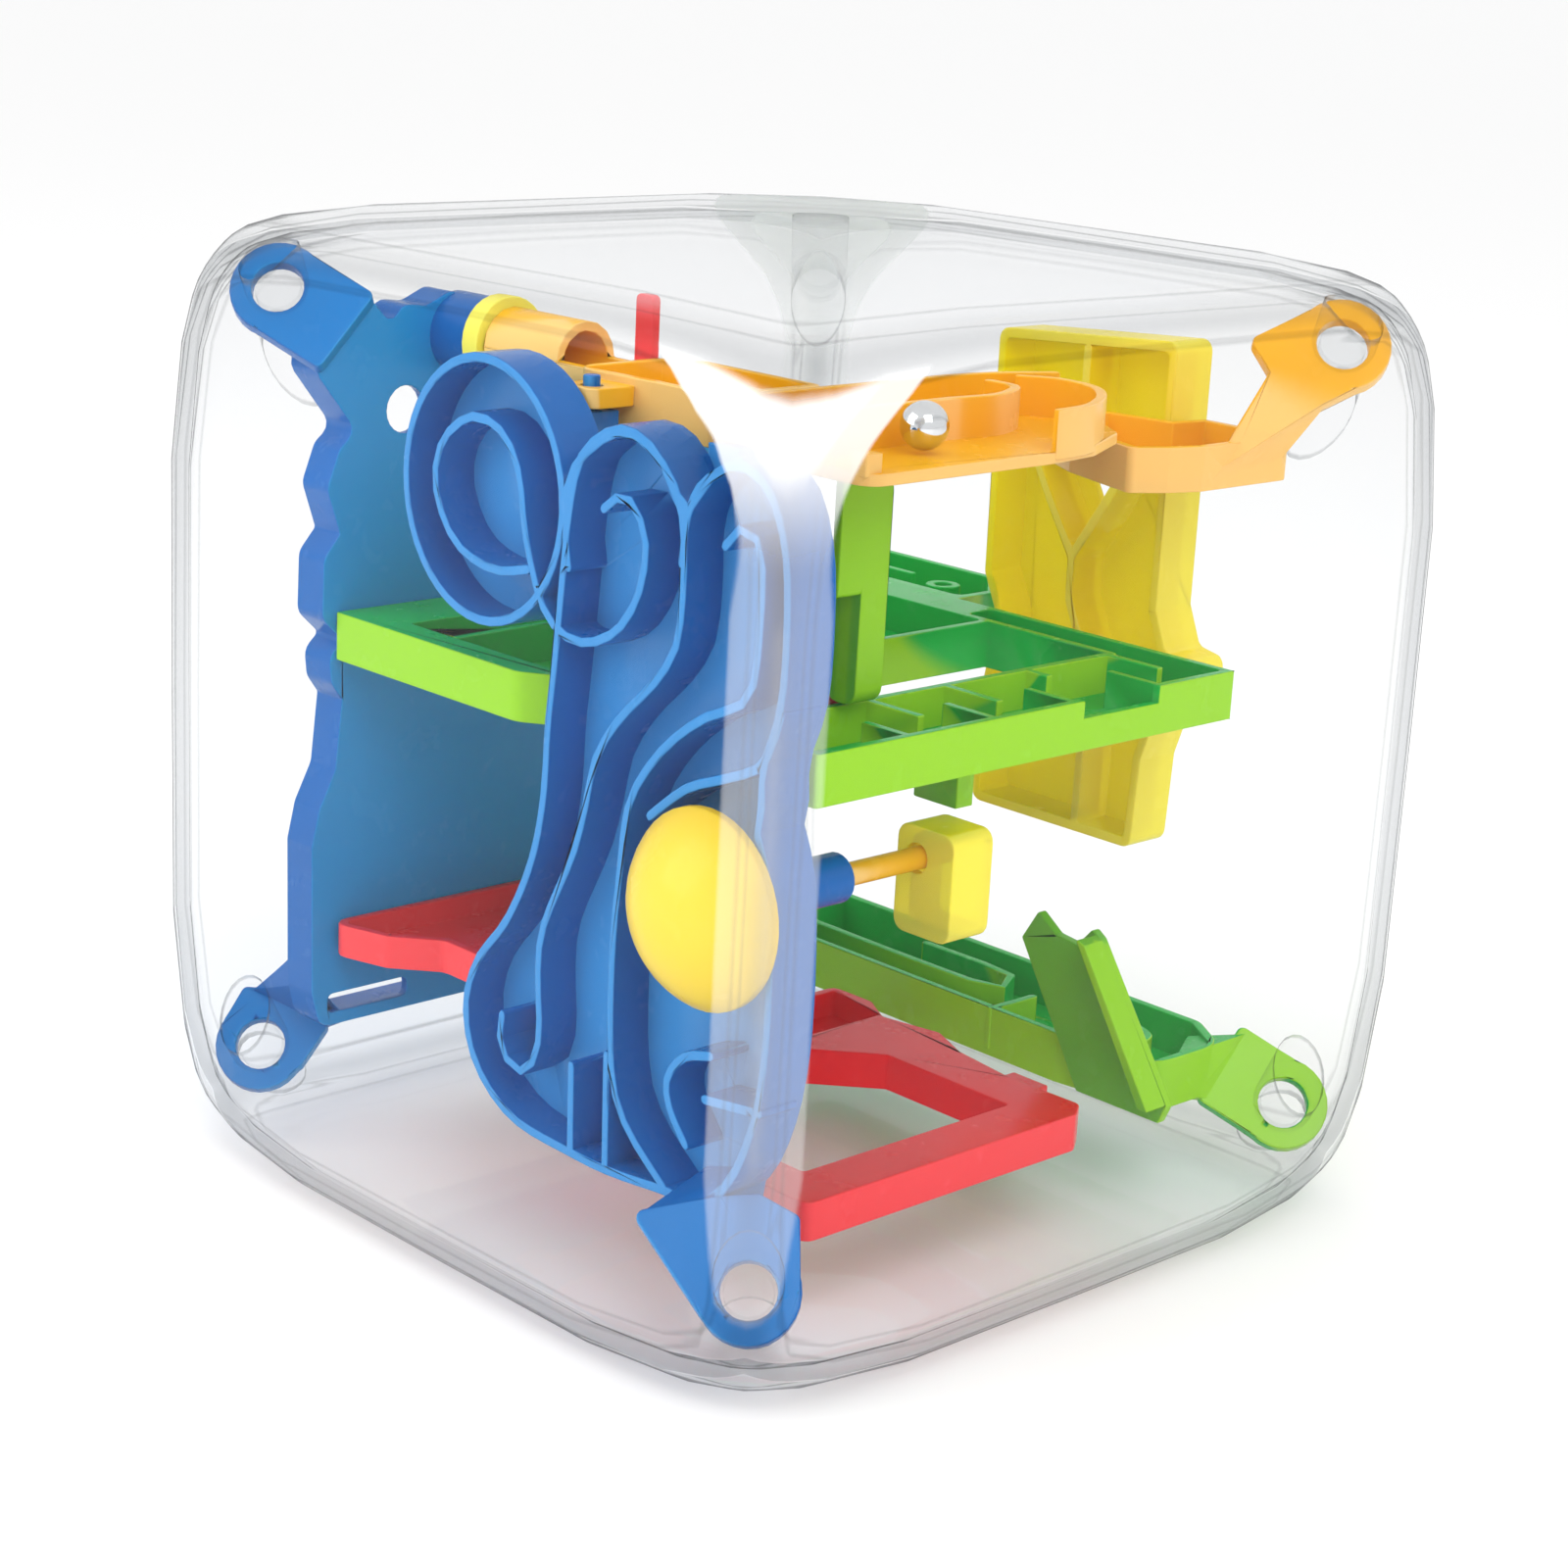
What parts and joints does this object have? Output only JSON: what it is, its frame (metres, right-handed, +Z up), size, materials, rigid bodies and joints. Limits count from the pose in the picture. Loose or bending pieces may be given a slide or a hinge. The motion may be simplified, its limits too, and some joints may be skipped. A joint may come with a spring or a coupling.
{
  "type": "tilt maze game",
  "caption": "Clear rounded cube with an interlocking coloured ball track of panels, trays and loops inside, a turning wheel and a rolling steel ball.",
  "frame": {"origin": "centre of the case", "axes": "+Z up, the left front face looks along -Y and the right front face along +X"},
  "size_m": [0.125, 0.125, 0.1312],
  "materials": {
    "clear": "clear, gloss",
    "blue": "gloss",
    "yellow": "gloss",
    "orange": "gloss",
    "green": "gloss",
    "lime": "gloss",
    "red": "gloss",
    "steel": "polished"
  },
  "bodies": {
    "case": {"front_case_half": "clear", "back_case_half": "clear", "swirl_panel": "blue", "corner_panel": "blue", "hub_sleeve": "blue", "axle_block": "yellow", "tube_ring": "yellow", "half_pipe": "orange", "top_tray_left": "orange", "top_tray_right": "orange", "corner_tray": "orange", "back_panel": "yellow", "mid_tray": "green", "green_post": "lime", "base_tray": "green", "saw_fence": "lime", "red_frame": "red", "red_left_tray": "red", "red_clip": "red", "red_flag": "red"},
    "wheel": {"dome_wheel": "yellow", "wheel_axle": "orange"},
    "ball": {"steel_ball": "steel"}
  },
  "joints": [
    {"name": "wheel_spin", "type": "hinge", "parent": "case", "child": "wheel", "pos_m": [0.041, -0.03, -0.0063], "axis": [0, 1, 0], "continuous": true},
    {"name": "ball_roll", "type": "slide", "parent": "case", "child": "ball", "axis": [0, 1, 0], "range_m": [-0.011, 0.012]}
  ]
}
